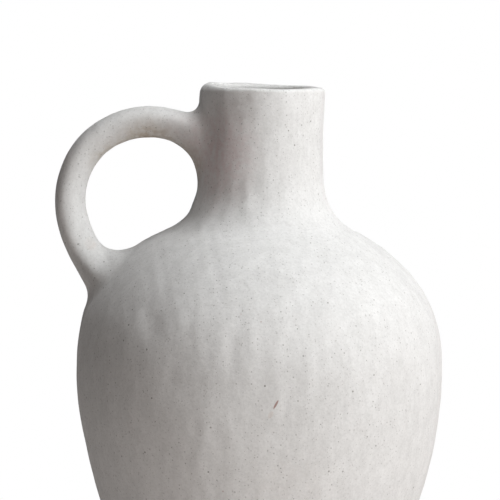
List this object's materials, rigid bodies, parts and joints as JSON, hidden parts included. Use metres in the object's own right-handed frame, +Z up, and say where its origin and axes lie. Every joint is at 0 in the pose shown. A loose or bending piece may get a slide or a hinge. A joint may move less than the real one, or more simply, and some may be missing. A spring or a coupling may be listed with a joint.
{
  "type": "one-handled clay jug",
  "caption": "Wide-bellied clay jug in a matte white slip, with a straight neck and a round ring handle that runs from the neck to the shoulder.",
  "frame": {"origin": "centre of the foot, on the surface that the jug stands on, on the axis of the vessel", "axes": "+Z up along the axis of the vessel; the handle points along -X and lies in the XZ plane; the picture looks along +Y"},
  "size_m": [0.2534, 0.24, 0.3578],
  "materials": {
    "white_slip": "matte, sandy white slip over coarse clay",
    "bare_clay": "matte, unslipped pinkish buff clay"
  },
  "bodies": {
    "root": {"foot_ring": "bare_clay", "base_disc": "white_slip", "lower_wall": "white_slip", "upper_wall": "white_slip", "neck": "white_slip", "lip": "white_slip", "handle": "white_slip", "upper_handle_coil": "white_slip", "lower_handle_coil": "white_slip"}
  },
  "joints": []
}
